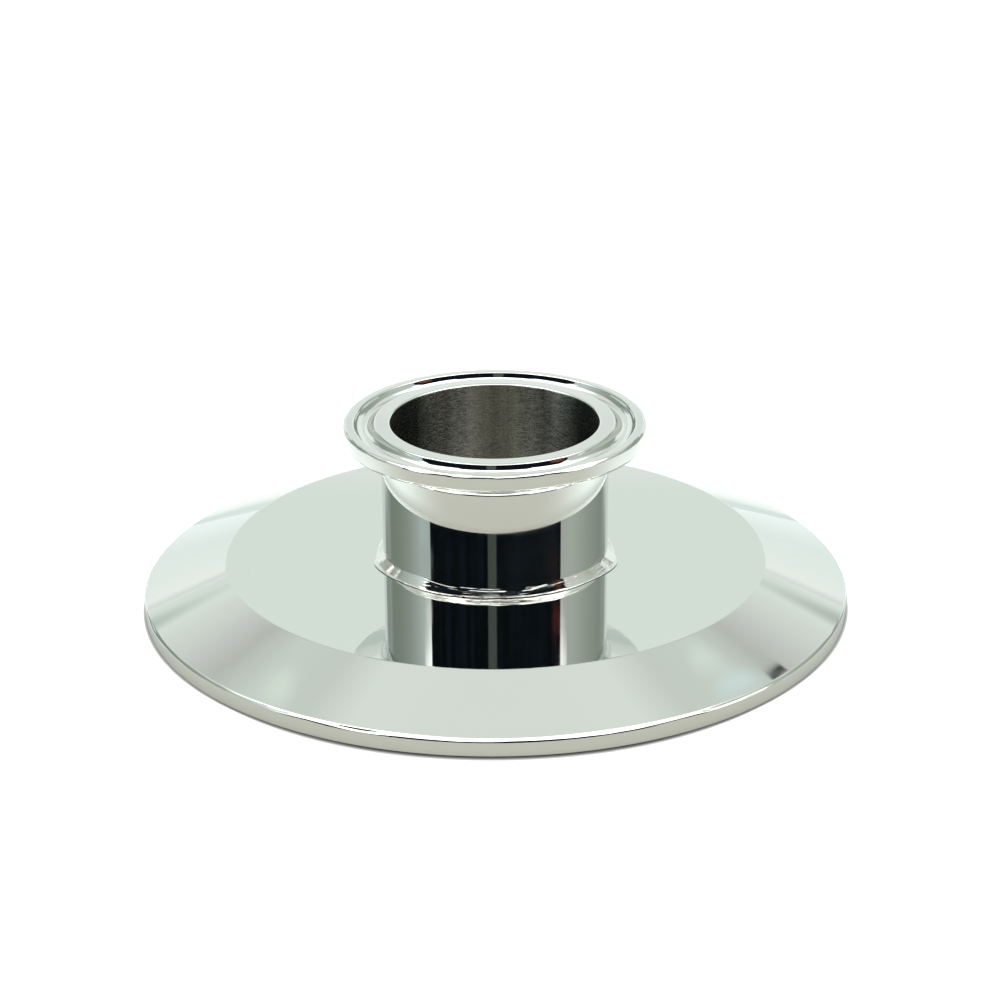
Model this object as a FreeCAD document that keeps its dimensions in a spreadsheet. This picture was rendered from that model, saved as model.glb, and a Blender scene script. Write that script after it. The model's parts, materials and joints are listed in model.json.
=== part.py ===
# Sanitary clamp reducer, cap style: a 4 inch clamp flange disc with a 1.5 inch clamp ferrule welded in it.
# Millimetres, +Z up. The origin is on the axis, in the plane of the large mating face, which it rests on.
import FreeCAD
import Part
import Sketcher
import math
import os

# Driving dimensions: a word for each, its value, and what it measures.
SIZES = [
    ("large_flange_dia", 119.0, "outside of the large clamp flange"),
    ("plate_thickness", 7.9, "middle of the disc, from the mating face to the flat top"),
    ("tube_dia", 38.1, "outside of the ferrule's tube"),
    ("tube_wall", 1.65, "wall of the ferrule's tube"),
    ("total_height", 31.75, "from the large mating face to the small one"),
    ("small_flange_reach", 6.2, "how far the small clamp flange stands out from its tube"),
    ("rim_thickness", 2.85, "straight rim of either clamp flange"),
    ("bevel_angle", 20.0, "slope of the clamp's bevel on either flange, in degrees"),
    ("groove_width", 3.2, "gasket groove of either mating face, across its mouth"),
    ("groove_depth", 1.6, "gasket groove of either mating face"),
    ("groove_floor_chamfer", 0.94, "corners of its floor, which make its section nearly a half round"),
    ("large_groove_inset", 4.35, "from the large rim to the middle of its gasket groove"),
    ("small_groove_inset", 3.45, "from the small rim to the middle of its gasket groove"),
    ("rim_chamfer", 0.35, "broken edges of a rim, measured along its sides"),
    ("bore_chamfer", 0.2, "broken edge of the bore at the small mating face"),
    ("bevel_corner_round", 1.0, "turn from the disc's flat top to its bevel"),
    ("neck_round", 1.5, "inside corner between the small flange and its tube"),
    ("bead_lip", 0.1, "thickness of the weld at its outer edge"),
    ("bead_lip_lean", 0.1, "how far that edge leans in over its thickness"),
    ("bead_face_run", 1.05, "how far the weld's sloping face runs out over the disc"),
    ("bead_face_rise", 0.9, "how far that face rises"),
    ("bead_face_sag", 0.2, "how far its middle lies below its chord"),
    ("bead_swell", 0.3, "how far the weld stands out from the tube at the top of its face"),
    ("bead_climb", 0.4, "how far the weld climbs the tube above its face"),
]

# Radii and heights worked out from those, each written once for the sections that meet there.
TUBE_RADIUS = "(Sizes.tube_dia / 2)"
BORE_RADIUS = f"({TUBE_RADIUS} - Sizes.tube_wall)"
SLOPE = "tan(Sizes.bevel_angle * 1 deg)"
LARGE_RIM_RADIUS = "(Sizes.large_flange_dia / 2)"
FLAT_RADIUS = f"({LARGE_RIM_RADIUS} - (Sizes.plate_thickness - Sizes.rim_thickness) / {SLOPE})"
LARGE_GROOVE_RADIUS = f"({LARGE_RIM_RADIUS} - Sizes.large_groove_inset)"
SMALL_RIM_RADIUS = f"({TUBE_RADIUS} + Sizes.small_flange_reach)"
SMALL_GROOVE_RADIUS = f"({SMALL_RIM_RADIUS} - Sizes.small_groove_inset)"
SMALL_RIM_FOOT = "(Sizes.total_height - Sizes.rim_thickness)"
NECK_HEIGHT = f"({SMALL_RIM_FOOT} - Sizes.small_flange_reach * {SLOPE})"
MATING_FACE = "0"

# The number by which a sketch knows its own horizontal axis, which lies in the large mating face.
LEVEL_LINE = -1

doc = FreeCAD.newDocument("clamp_reducer")


def add_sheet():
    """The sheet of driving dimensions: the note in column A, the number in column B under its word."""
    sheet = doc.addObject("Spreadsheet::Sheet", "Sizes")
    for row, (word, value, note) in enumerate(SIZES, start=1):
        sheet.set(f"A{row}", note)
        sheet.set(f"B{row}", str(value))
        sheet.setAlias(f"B{row}", word)
    doc.recompute()
    return sheet


def measure(expression):
    """The number that an expression of the sheet comes to."""
    value = sheet.evalExpression(expression)
    return float(getattr(value, "Value", value))


def add_body(label):
    """An empty body whose label names its sub-part."""
    body = doc.addObject("PartDesign::Body", label)
    body.Label = label
    return body


def section_plane(body):
    """The body's own XZ plane: its X is the radius and its Y is the height."""
    return next(plane for plane in body.Origin.OriginFeatures if plane.Role == "XZ_Plane")


def hold_place(sketch, side, point, corner):
    """Hold one point of a side at a corner's radius and height from the sheet."""
    for kind, expression in zip(("DistanceX", "DistanceY"), corner):
        if expression == MATING_FACE:
            sketch.addConstraint(Sketcher.Constraint("PointOnObject", side, point, LEVEL_LINE))
            continue
        number = sketch.addConstraint(Sketcher.Constraint(kind, -1, 1, side, point, measure(expression)))
        sketch.setExpression(f"Constraints[{number}]", expression)


def turn_at(places, number):
    """Whether the outline turns left or right at a corner."""
    before, corner, after = places[number - 1], places[number], places[(number + 1) % len(places)]
    return "left" if (corner - before).cross(after - corner).z > 0 else "right"


def break_corner(corner, before, after, kind, size):
    """Where a corner's round or chamfer leaves the side before it and joins the side after it."""
    back = (before - corner).normalize()
    ahead = (after - corner).normalize()
    reach = size / math.tan(back.getAngle(ahead) / 2) if kind == "round" else size
    return corner + back * reach, corner + ahead * reach


def arc_between(start, end, radius, turn):
    """The arc of that radius between two points that turns left or right, by the shorter way round."""
    chord = end - start
    aside = FreeCAD.Vector(-chord.y, chord.x, 0).normalize()
    if turn == "right":
        aside = -aside
    centre = (start + end) / 2 + aside * math.sqrt(radius ** 2 - (chord.Length / 2) ** 2)
    first, last = (start, end) if turn == "left" else (end, start)
    circle = Part.Circle(centre, FreeCAD.Vector(0, 0, 1), radius)
    return Part.ArcOfCircle(circle, circle.parameter(first), circle.parameter(last))


def add_arc(sketch, start, end, radius, turn):
    """An arc of the sketch, held at its radius: its number, and its own names for its start and its end."""
    arc = sketch.addGeometry(arc_between(start, end, measure(radius), turn), False)
    number = sketch.addConstraint(Sketcher.Constraint("Radius", arc, measure(radius)))
    sketch.setExpression(f"Constraints[{number}]", radius)
    return (arc, 1, 2) if turn == "left" else (arc, 2, 1)


def add_line(sketch, start, end):
    """A straight side of the sketch: its number, and its own numbers for its start and its end."""
    return sketch.addGeometry(Part.LineSegment(start, end), False), 1, 2


def add_section(body, name, corners, arcs=None):
    """A closed half-section, drawn anticlockwise. corners are (radius, height) in order, and a corner that
    is broken has its kind, round or chamfer, and its size after them. arcs gives the radius and the turn,
    left or right, of each side that is an arc, by the number of the corner that it starts from."""
    arcs = arcs or {}
    sketch = body.newObject("Sketcher::SketchObject", name)
    sketch.AttachmentSupport = (section_plane(body), "")
    sketch.MapMode = "FlatFace"
    count = len(corners)
    places = [FreeCAD.Vector(measure(corner[0]), measure(corner[1]), 0) for corner in corners]
    leave, join = list(places), list(places)
    for number, (place, corner) in enumerate(zip(places, corners)):
        if len(corner) > 2:
            before, after = places[number - 1], places[(number + 1) % count]
            leave[number], join[number] = break_corner(place, before, after, corner[2], measure(corner[3]))
    sides = []
    for number in range(count):
        ends = join[number], leave[(number + 1) % count]
        sides.append(add_arc(sketch, *ends, *arcs[number]) if number in arcs else add_line(sketch, *ends))
    for number, corner in enumerate(corners):
        last, _, last_end = sides[number - 1]
        this, this_start, _ = sides[number]
        if len(corner) == 2:
            sketch.addConstraint(Sketcher.Constraint("Coincident", last, last_end, this, this_start))
            hold_place(sketch, this, this_start, corner)
            continue
        sharp = sketch.addGeometry(Part.Point(places[number]), True)
        hold_place(sketch, sharp, 1, corner)
        for side in (last, this):
            sketch.addConstraint(Sketcher.Constraint("PointOnObject", sharp, 1, side))
        kind, size = corner[2:]
        if kind == "round":
            turn = turn_at(places, number)
            arc, arc_start, arc_end = add_arc(sketch, leave[number], join[number], size, turn)
            sketch.addConstraint(Sketcher.Constraint("Tangent", last, last_end, arc, arc_start))
            sketch.addConstraint(Sketcher.Constraint("Tangent", arc, arc_end, this, this_start))
            continue
        chamfer, chamfer_start, chamfer_end = add_line(sketch, leave[number], join[number])
        sketch.addConstraint(Sketcher.Constraint("Coincident", last, last_end, chamfer, chamfer_start))
        sketch.addConstraint(Sketcher.Constraint("Coincident", chamfer, chamfer_end, this, this_start))
        for side, point in ((last, last_end), (this, this_start)):
            reach = Sketcher.Constraint("Distance", sharp, 1, side, point, measure(size))
            held = sketch.addConstraint(reach)
            sketch.setExpression(f"Constraints[{held}]", size)
    return sketch


def turn_section(body, name, sketch):
    """Turn a section about the part's axis."""
    solid = body.newObject("PartDesign::Revolution", name)
    solid.Profile = sketch
    solid.ReferenceAxis = (sketch, ["V_Axis"])
    solid.Angle = 360


def groove_corners(radius, height, floor_height):
    """A gasket groove's section, from its inner to its outer edge: upright walls and wide floor chamfers."""
    inner = f"({radius} - Sizes.groove_width / 2)"
    outer = f"({radius} + Sizes.groove_width / 2)"
    chamfer = ("chamfer", "Sizes.groove_floor_chamfer")
    return [
        (inner, height),
        (inner, floor_height, *chamfer),
        (outer, floor_height, *chamfer),
        (outer, height),
    ]


def build_cap_plate():
    """The turned disc: straight rim, clamp bevel, flat top, and a hole that the ferrule's tube fills."""
    body = add_body("clamp_cap_plate")
    rim_edge = ("chamfer", "Sizes.rim_chamfer")
    sketch = add_section(body, "disc_section", [
        (TUBE_RADIUS, MATING_FACE),
        *groove_corners(LARGE_GROOVE_RADIUS, MATING_FACE, "Sizes.groove_depth"),
        (LARGE_RIM_RADIUS, MATING_FACE, *rim_edge),
        (LARGE_RIM_RADIUS, "Sizes.rim_thickness", *rim_edge),
        (FLAT_RADIUS, "Sizes.plate_thickness", "round", "Sizes.bevel_corner_round"),
        (TUBE_RADIUS, "Sizes.plate_thickness"),
    ])
    turn_section(body, "disc", sketch)
    return body


def build_ferrule():
    """The turned ferrule: a tube that runs down through the disc, with the small clamp flange on top."""
    body = add_body("clamp_ferrule")
    rim_edge = ("chamfer", "Sizes.rim_chamfer")
    floor_height = "(Sizes.total_height - Sizes.groove_depth)"
    sketch = add_section(body, "ferrule_section", [
        (BORE_RADIUS, MATING_FACE),
        (TUBE_RADIUS, MATING_FACE),
        (TUBE_RADIUS, NECK_HEIGHT, "round", "Sizes.neck_round"),
        (SMALL_RIM_RADIUS, SMALL_RIM_FOOT, *rim_edge),
        (SMALL_RIM_RADIUS, "Sizes.total_height", *rim_edge),
        *reversed(groove_corners(SMALL_GROOVE_RADIUS, "Sizes.total_height", floor_height)),
        (BORE_RADIUS, "Sizes.total_height", "chamfer", "Sizes.bore_chamfer"),
    ])
    turn_section(body, "ferrule", sketch)
    return body


def build_weld_bead():
    """The weld in the corner of tube and disc: a steep lip, a hollow sloping face and a thin upper edge."""
    body = add_body("weld_bead")
    face_top_radius = f"({TUBE_RADIUS} + Sizes.bead_swell)"
    face_foot_radius = f"({face_top_radius} + Sizes.bead_face_run)"
    toe_radius = f"({face_foot_radius} + Sizes.bead_lip_lean)"
    face_foot = "(Sizes.plate_thickness + Sizes.bead_lip)"
    face_top = f"({face_foot} + Sizes.bead_face_rise)"
    crown = f"({face_top} + Sizes.bead_climb)"
    half_chord = "(sqrt(Sizes.bead_face_run ^ 2 + Sizes.bead_face_rise ^ 2) / 2)"
    face_radius = f"(({half_chord} ^ 2 + Sizes.bead_face_sag ^ 2) / (2 * Sizes.bead_face_sag))"
    sketch = add_section(body, "bead_section", [
        (TUBE_RADIUS, "Sizes.plate_thickness"),
        (toe_radius, "Sizes.plate_thickness"),
        (face_foot_radius, face_foot),
        (face_top_radius, face_top),
        (TUBE_RADIUS, crown),
    ], arcs={2: (face_radius, "right")})
    turn_section(body, "bead", sketch)
    return body


def check_document():
    """Stop if any object of the document failed."""
    for item in doc.Objects:
        failed = [state for state in item.State if state in ("Invalid", "Error")]
        if failed:
            raise RuntimeError(f"{item.Label} is {failed[0]}")


def check_shape(body):
    """Stop if a sub-part has no valid single solid."""
    shape = body.Shape
    if shape.isNull() or not shape.isValid() or len(shape.Solids) != 1:
        raise RuntimeError(f"{body.Label} is not one valid solid")


sheet = add_sheet()
bodies = [build_cap_plate(), build_ferrule(), build_weld_bead()]
doc.recompute()
check_document()
for body in bodies:
    check_shape(body)

os.makedirs("parts", exist_ok=True)
for body in bodies:
    body.Shape.exportStep(f"parts/{body.Label}.step")
    box = body.Shape.optimalBoundingBox(False, False)
    print(f"{body.Label}: {body.Shape.Volume:.1f} mm3, {box.XLength:.2f} across, up to {box.ZMax:.2f}")
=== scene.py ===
# Sanitary clamp reducer, cap style: a large bevelled clamp disc with a short clamp ferrule welded through
# it. Metres, +Z up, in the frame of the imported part. Sections are written in millimetres, and azimuths are
# counted from the front, positive to the right.
import bpy
import json
import math
from mathutils import Matrix, Vector, noise


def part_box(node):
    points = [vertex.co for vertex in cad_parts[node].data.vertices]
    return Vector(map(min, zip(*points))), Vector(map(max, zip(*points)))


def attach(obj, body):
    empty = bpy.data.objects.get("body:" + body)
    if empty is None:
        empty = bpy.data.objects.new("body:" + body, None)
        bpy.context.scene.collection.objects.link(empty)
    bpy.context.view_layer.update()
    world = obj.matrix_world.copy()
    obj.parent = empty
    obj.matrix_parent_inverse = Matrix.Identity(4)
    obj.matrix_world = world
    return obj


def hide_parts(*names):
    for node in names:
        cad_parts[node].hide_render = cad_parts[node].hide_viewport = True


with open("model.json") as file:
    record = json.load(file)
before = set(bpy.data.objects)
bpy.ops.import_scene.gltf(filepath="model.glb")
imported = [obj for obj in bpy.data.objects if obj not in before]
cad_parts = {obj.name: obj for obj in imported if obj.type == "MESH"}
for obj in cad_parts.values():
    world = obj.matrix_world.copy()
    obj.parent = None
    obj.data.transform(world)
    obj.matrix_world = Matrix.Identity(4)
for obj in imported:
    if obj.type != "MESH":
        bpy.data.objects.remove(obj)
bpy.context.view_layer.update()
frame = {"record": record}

MM = 0.001

# Sizes that the frame gives, in millimetres.
DISC = [Vector(corner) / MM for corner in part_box("clamp_cap_plate")]
FERRULE = [Vector(corner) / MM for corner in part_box("clamp_ferrule")]
BORE = next(mount for mount in frame["record"]["mounts"] if mount["name"] == "bore")
LARGE_RIM_RADIUS = DISC[1].x
PLATE_TOP = DISC[1].z
SMALL_RIM_RADIUS = FERRULE[1].x
TOTAL_HEIGHT = FERRULE[1].z
BORE_RADIUS = BORE["dims"]["r_mm"]

# Sizes of the finish, in millimetres.
TUBE_WALL = 1.65
TUBE_RADIUS = BORE_RADIUS + TUBE_WALL
RIM_THICKNESS = 2.85
BEVEL_SLOPE = math.tan(math.radians(20))
RIM_ROUND = 0.55
BEVEL_CORNER_ROUND = 1.0
NECK_ROUND = 1.5
BORE_EDGE_ROUND = 0.4
GROOVE_RADIUS = 1.6
GROOVE_MOUTH_ROUND = 0.35
LARGE_GROOVE_INSET = 4.35
SMALL_GROOVE_INSET = 3.45

# The large rim's lower edge is crisp. Its upper edge is dressed off at a slant, over a length that grows
# towards the front, from FRONT_HALF degrees on either side of it.
CRISP_ROUND = 0.2
EDGE_SLANT = math.radians(42)
SIDE_FACET = 0.46
FRONT_FACET = 0.76
FRONT_HALF = 40

# Hand polishing left the rim edges uneven, in long and in short waves. The waves are given by how many
# cells of noise they have to the radian.
LARGE_EDGE_RIPPLE = 0.1
SMALL_EDGE_RIPPLE = 0.12
LONG_WAVES = 6
SHORT_WAVES = 14
SHORT_WAVE_SHARE = 0.4
# It also left flat places, each an azimuth with a half width, in degrees, and a depth.
LARGE_EDGE_FLATS = [(41, 9, 0.3), (-22, 7, 0.15)]
SMALL_TOP_FLATS = [(-31, 9, 0.25), (0, 19.5, 0.12), (33, 12, 0.3), (-70, 20, 0.15), (75, 18, 0.15)]
SMALL_FOOT_FLATS = [
    (-45, 7, 0.3), (-29.5, 3.8, 0.5), (-19.7, 5, 0.5), (0, 14.5, 0.2), (18, 3.5, 0.5), (24.5, 4, 0.55),
    (33, 5, 0.5), (50, 9, 0.3),
]
# How far a round runs from a corner, in its own radii: from a square corner, and from one beside a bevel.
SQUARE_REACH = 1.0
BEVEL_REACH = 0.7

# Beside each round a narrow flat strip keeps the wide faces mirror flat.
STRIP = 0.05
ROUND_STEPS = 8
GROOVE_STEPS = 20
DISC_SEGMENTS = 540
FERRULE_SEGMENTS = 600
WELD_SEGMENTS = 1080
# A corner that turns by more than this, in degrees, stays sharp.
SHARPEST_SMOOTH = 30

# The weld swells the tube's foot, climbs it above the crown, and ends on the disc in a toe.
WELD_SWELL = 0.25
WELD_CLIMB = 0.4
WELD_TOE = 0.15
# In front it reaches least along the disc. It reaches further past 12 degrees, and flares out at the sides.
WELD_REACH = 0.55
WELD_WIDER = 0.45
WELD_WIDENS = (12, 36)
WELD_FLARE_LEFT = 1.05
WELD_FLARE_RIGHT = 1.15
WELD_FLARE_AZIMUTH = 73
WELD_FLARE_WIDTHS = (17, 9)
# Its crown has a hump on either side of the front, and sinks past 50 degrees.
WELD_CROWN = 1.02
WELD_HUMP = 0.25
WELD_HUMP_AZIMUTH = 40
WELD_HUMP_WIDTH = 13
WELD_SINK = 0.42
WELD_SINKS = (50, 70)
# Reach and crown wander a little, low ridges run along it, and its crown has small nicks, each an azimuth in
# degrees and a depth.
WELD_REACH_WANDER = 0.06
WELD_CROWN_WANDER = 0.07
WELD_RIDGE = 0.03
WELD_NICKS = [(-62, 0.3), (-55, 0.15), (67, 0.35)]
WELD_NICK_WIDTH = 1.3

SMOOTH = {"interpolation_type": "SMOOTHSTEP"}


def linear(hex_colour):
    """An sRGB hex colour as the linear colour that a shader takes."""
    channels = [int(hex_colour[place:place + 2], 16) / 255 for place in (1, 3, 5)]
    return [c / 12.92 if c <= 0.04045 else ((c + 0.055) / 1.055) ** 2.4 for c in channels] + [1.0]


def add_node(tree, kind, inputs=None, **settings):
    """Adds a node, sets its settings, and sets or links its inputs."""
    made = tree.nodes.new(kind)
    for name, value in settings.items():
        setattr(made, name, value)
    for name, value in (inputs or {}).items():
        if isinstance(value, bpy.types.NodeSocket):
            tree.links.new(value, made.inputs[name])
        else:
            made.inputs[name].default_value = value
    return made


def fill_ramp(ramp, start, end, stops):
    """Gives a colour ramp its stops, each a place between start and end with a colour."""
    while len(ramp.elements) > 1:
        ramp.elements.remove(ramp.elements[-1])
    for number, (place, colour) in enumerate(stops):
        position = (place - start) / (end - start)
        element = ramp.elements[0] if number == 0 else ramp.elements.new(position)
        element.position = position
        element.color = (*colour, 1)


def arc(centre, radius, start, end, steps):
    """Points along an arc of a section, from one angle to another in degrees."""
    angles = [math.radians(start + (end - start) * step / steps) for step in range(steps + 1)]
    return [(centre[0] + radius * math.cos(a), centre[1] + radius * math.sin(a)) for a in angles]


def round_corner(before, corner, after, radius):
    """The points that a rounded corner has, with the edges of the flat strips beside it."""
    corner = Vector(corner[:2])
    back = (Vector(before[:2]) - corner).normalized()
    ahead = (Vector(after[:2]) - corner).normalized()
    half_angle = back.angle(ahead) / 2
    reach = radius / math.tan(half_angle)
    centre = corner + (back + ahead).normalized() * (radius / math.sin(half_angle))
    start = math.degrees(math.atan2(*reversed(corner + back * reach - centre)))
    end = math.degrees(math.atan2(*reversed(corner + ahead * reach - centre)))
    turn = (end - start + 180) % 360 - 180
    strips = [tuple(corner + side * (reach + STRIP)) for side in (back, ahead)]
    return [strips[0], *arc(centre, radius, start, start + turn, ROUND_STEPS), strips[1]]


def outline(corners):
    """A section's points in order. A corner is (radius, height) or (radius, height, its round)."""
    points = []
    for number, corner in enumerate(corners):
        if len(corner) == 3:
            after = corners[(number + 1) % len(corners)]
            points += round_corner(corners[number - 1], corner, after, corner[2])
        else:
            points.append(corner)
    return points


def gasket_groove(middle, face, into):
    """A half-round groove with rounded mouth edges, from its inner to its outer edge. into is 1 where the
    material lies above the face, and -1 where it lies below."""
    reach = GROOVE_RADIUS + GROOVE_MOUTH_ROUND
    along = math.sqrt(reach ** 2 - GROOVE_MOUTH_ROUND ** 2)
    lean = math.degrees(math.asin(GROOVE_MOUTH_ROUND / reach))
    half_steps = ROUND_STEPS // 2
    inner = (middle - along, face + into * GROOVE_MOUTH_ROUND)
    outer = (middle + along, face + into * GROOVE_MOUTH_ROUND)
    return [
        (middle - along - STRIP, face),
        *arc(inner, GROOVE_MOUTH_ROUND, -90 * into, -lean * into, half_steps),
        *arc((middle, face), GROOVE_RADIUS, (180 - lean) * into, lean * into, GROOVE_STEPS)[1:-1],
        *arc(outer, GROOVE_MOUTH_ROUND, (lean - 180) * into, -90 * into, half_steps),
        (middle + along + STRIP, face),
    ]


def turn_piece(name, points, segments):
    """A closed ring with that section: a circle at its first point, extruded and resized from point to point,
    and bridged shut."""
    bpy.ops.object.select_all(action="DESELECT")
    radius, height = points[0]
    bpy.ops.mesh.primitive_circle_add(vertices=segments, radius=radius * MM, location=(0, 0, height * MM))
    piece = bpy.context.object
    piece.name = name
    bpy.ops.object.transform_apply(location=True, rotation=True, scale=True)
    bpy.ops.object.mode_set(mode="EDIT")
    bpy.ops.mesh.select_mode(type="EDGE")
    bpy.ops.mesh.select_all(action="SELECT")
    for next_radius, next_height in points[1:]:
        rise = (0, 0, (next_height - height) * MM)
        growth = next_radius / radius
        bpy.ops.mesh.extrude_region_move(TRANSFORM_OT_translate={"value": rise})
        bpy.ops.transform.resize(value=(growth, growth, 1), center_override=(0, 0, next_height * MM))
        radius, height = next_radius, next_height
    bpy.ops.mesh.select_all(action="DESELECT")
    bpy.ops.mesh.select_non_manifold()
    bpy.ops.mesh.bridge_edge_loops()
    bpy.ops.mesh.select_all(action="SELECT")
    bpy.ops.mesh.normals_make_consistent(inside=False)
    bpy.ops.mesh.select_all(action="DESELECT")
    bpy.ops.object.mode_set(mode="OBJECT")
    bpy.ops.object.shade_smooth_by_angle(angle=math.radians(SHARPEST_SMOOTH))
    return piece


def azimuth_of(point):
    """A point's azimuth round the axis, in radians."""
    return math.atan2(point.x, -point.y)


def turned_point(azimuth, radius, height):
    """The point at an azimuth in radians, with its radius and height in millimetres."""
    return Vector((math.sin(azimuth) * radius, -math.cos(azimuth) * radius, height)) * MM


def reshape(piece, segments, section_at):
    """Moves a turned piece to the section that it has at each azimuth, which no operator gives."""
    sections = {}
    for vertex in piece.data.vertices:
        azimuth = azimuth_of(vertex.co)
        step = round(azimuth / math.tau * segments)
        if step not in sections:
            sections[step] = section_at(azimuth)
        vertex.co = turned_point(azimuth, *sections[step][vertex.index // segments])


def wander(azimuth, cells, seed):
    """A smooth value from about -1 to 1 that drifts round the axis, over that many cells to the radian."""
    return 1.6 * noise.noise(Vector((cells * math.sin(azimuth), cells * math.cos(azimuth), seed)))


def ripple_edge(piece, corner, inward, reach, depth, seed, flats):
    """Moves a turned piece's rounded edge in and out, which no operator gives. reach is how far the round
    runs from its corner."""
    for vertex in piece.data.vertices:
        place = Vector((vertex.co.to_2d().length, vertex.co.z)) / MM
        share = 1 - (place - Vector(corner)).length / reach
        if share > 0:
            azimuth = azimuth_of(vertex.co)
            short = SHORT_WAVE_SHARE * wander(azimuth, SHORT_WAVES, seed + 5)
            wave = depth * (wander(azimuth, LONG_WAVES, seed) + short)
            for middle, half, flat_depth in flats:
                wave += flat_depth * max(0, 1 - ((math.degrees(azimuth) - middle) / half) ** 2)
            vertex.co = turned_point(azimuth, *(place + Vector(inward) * share * wave))


def finish_piece(piece, node, slot, *materials):
    """Gives a piece its finish and its body, and hides the imported node that it stands in for."""
    for material in materials:
        piece.data.materials.append(material)
    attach(piece, "root")
    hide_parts(node)


def new_metal(name):
    """A new bare metal: the material, its node tree and its shader."""
    material = bpy.data.materials.new(name)
    material.use_nodes = True
    tree = material.node_tree
    shader = tree.nodes["Principled BSDF"]
    shader.inputs["Metallic"].default_value = 1.0
    return material, tree, shader


def find_place(tree):
    """Where a point lies: its place, the parts of that, the place without its height, and its radius."""
    place = add_node(tree, "ShaderNodeTexCoord").outputs["Object"]
    x, y, height = add_node(tree, "ShaderNodeSeparateXYZ", {0: place}).outputs
    flat = add_node(tree, "ShaderNodeCombineXYZ", {0: x, 1: y}).outputs[0]
    radius = add_node(tree, "ShaderNodeVectorMath", {0: flat}, operation="LENGTH").outputs["Value"]
    return {"place": place, "x": x, "y": y, "height": height, "flat": flat, "radius": radius}


def turned_marks(tree, at, along, across, detail, roughness=0.5):
    """A pattern of marks that run round the axis, with along of them to the radian and across of them to the
    metre of radius or height."""
    aim = add_node(tree, "ShaderNodeVectorMath", {0: at["flat"]}, operation="NORMALIZE").outputs[0]
    long_aim = add_node(tree, "ShaderNodeVectorMath", {0: aim, "Scale": along}, operation="SCALE").outputs[0]
    side, front = add_node(tree, "ShaderNodeSeparateXYZ", {0: long_aim}).outputs[:2]
    reach = add_node(tree, "ShaderNodeMath", {0: at["radius"], 1: across}, operation="MULTIPLY").outputs[0]
    rise = add_node(tree, "ShaderNodeMath", {0: at["height"], 1: across}, operation="MULTIPLY").outputs[0]
    around = add_node(tree, "ShaderNodeCombineXYZ", {0: side, 1: front, 2: reach}).outputs[0]
    inputs = {"Vector": around, "W": rise, "Scale": 1.0, "Detail": detail, "Roughness": roughness}
    return add_node(tree, "ShaderNodeTexNoise", inputs, noise_dimensions="4D").outputs[0]


def mirror_steel():
    """Mirror-polished 304 stainless: a near-perfect pale grey mirror. Fine buffing lines run round it,
    patches of haze soften it, and a few pits show."""
    material, tree, shader = new_metal("mirror_polished_304_stainless")
    at = find_place(tree)
    # Buffing lines are some hundredths of a millimetre wide. They are drawn 0.3 mm wide, to show at all.
    lines = turned_marks(tree, at, 2.5, 3300.0, detail=1.0)
    # Patches of haze, about 15 mm across.
    haze = add_node(
        tree, "ShaderNodeTexNoise", {"Vector": at["place"], "Scale": 65.0, "Detail": 1.0, "Roughness": 0.55},
    ).outputs[0]
    hazy = add_node(tree, "ShaderNodeMapRange", {0: haze, 1: 0.42, 2: 0.72, 4: 0.026}, **SMOOTH).outputs[0]
    lined = add_node(tree, "ShaderNodeMapRange", {0: lines, 1: 0.35, 2: 0.75, 3: 0.02, 4: 0.034}).outputs[0]
    soft = add_node(tree, "ShaderNodeMath", {0: hazy, 1: lined}, operation="ADD").outputs[0]
    # Pits about 0.3 mm across. Three of ten cells of 7 mm may show one.
    pits = add_node(tree, "ShaderNodeTexVoronoi", {"Vector": at["place"], "Scale": 150.0})
    picked = add_node(tree, "ShaderNodeSeparateXYZ", {0: pits.outputs["Color"]}).outputs[0]
    rare = add_node(tree, "ShaderNodeMath", {0: picked, 1: 0.7}, operation="GREATER_THAN").outputs[0]
    close = add_node(
        tree, "ShaderNodeMapRange", {0: pits.outputs["Distance"], 1: 0.03, 2: 0.015}, **SMOOTH,
    ).outputs[0]
    pit = add_node(tree, "ShaderNodeMath", {0: rare, 1: close}, operation="MULTIPLY").outputs[0]
    # Underneath, the seam where tube and disc are fused was dressed flush, and left a duller ring.
    seam_radius = (TUBE_RADIUS + 0.15) * MM
    under = add_node(
        tree, "ShaderNodeMath", {0: at["height"], 1: 0.05 * MM}, operation="LESS_THAN",
    ).outputs[0]
    off_seam = add_node(
        tree, "ShaderNodeMath", {0: at["radius"], 1: seam_radius}, operation="SUBTRACT",
    ).outputs[0]
    from_seam = add_node(tree, "ShaderNodeMath", {0: off_seam}, operation="ABSOLUTE").outputs[0]
    ring = add_node(
        tree, "ShaderNodeMapRange", {0: from_seam, 1: 1.6 * MM, 2: 1.0 * MM}, **SMOOTH,
    ).outputs[0]
    seam = add_node(tree, "ShaderNodeMath", {0: under, 1: ring}, operation="MULTIPLY").outputs[0]
    spots = add_node(tree, "ShaderNodeMath", {0: pit, 1: seam}, operation="MAXIMUM").outputs[0]
    rough = add_node(
        tree, "ShaderNodeMath", {0: spots, 1: 0.16, 2: soft}, operation="MULTIPLY_ADD",
    ).outputs[0]
    tree.links.new(rough, shader.inputs["Roughness"])
    colour = add_node(
        tree, "ShaderNodeMix", {0: spots, 6: linear("#D8DAD6"), 7: linear("#C3BFB2")}, data_type="RGBA",
    ).outputs[2]
    tree.links.new(colour, shader.inputs["Base Color"])
    # The buffed faces roll by some micrometres over a centimetre.
    roll = add_node(
        tree, "ShaderNodeTexNoise", {"Vector": at["place"], "Scale": 110.0, "Detail": 1.0},
    ).outputs[0]
    rolled = add_node(tree, "ShaderNodeBump", {"Distance": 0.005 * MM, "Height": roll}).outputs[0]
    tree.links.new(rolled, shader.inputs["Normal"])
    return material
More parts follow.
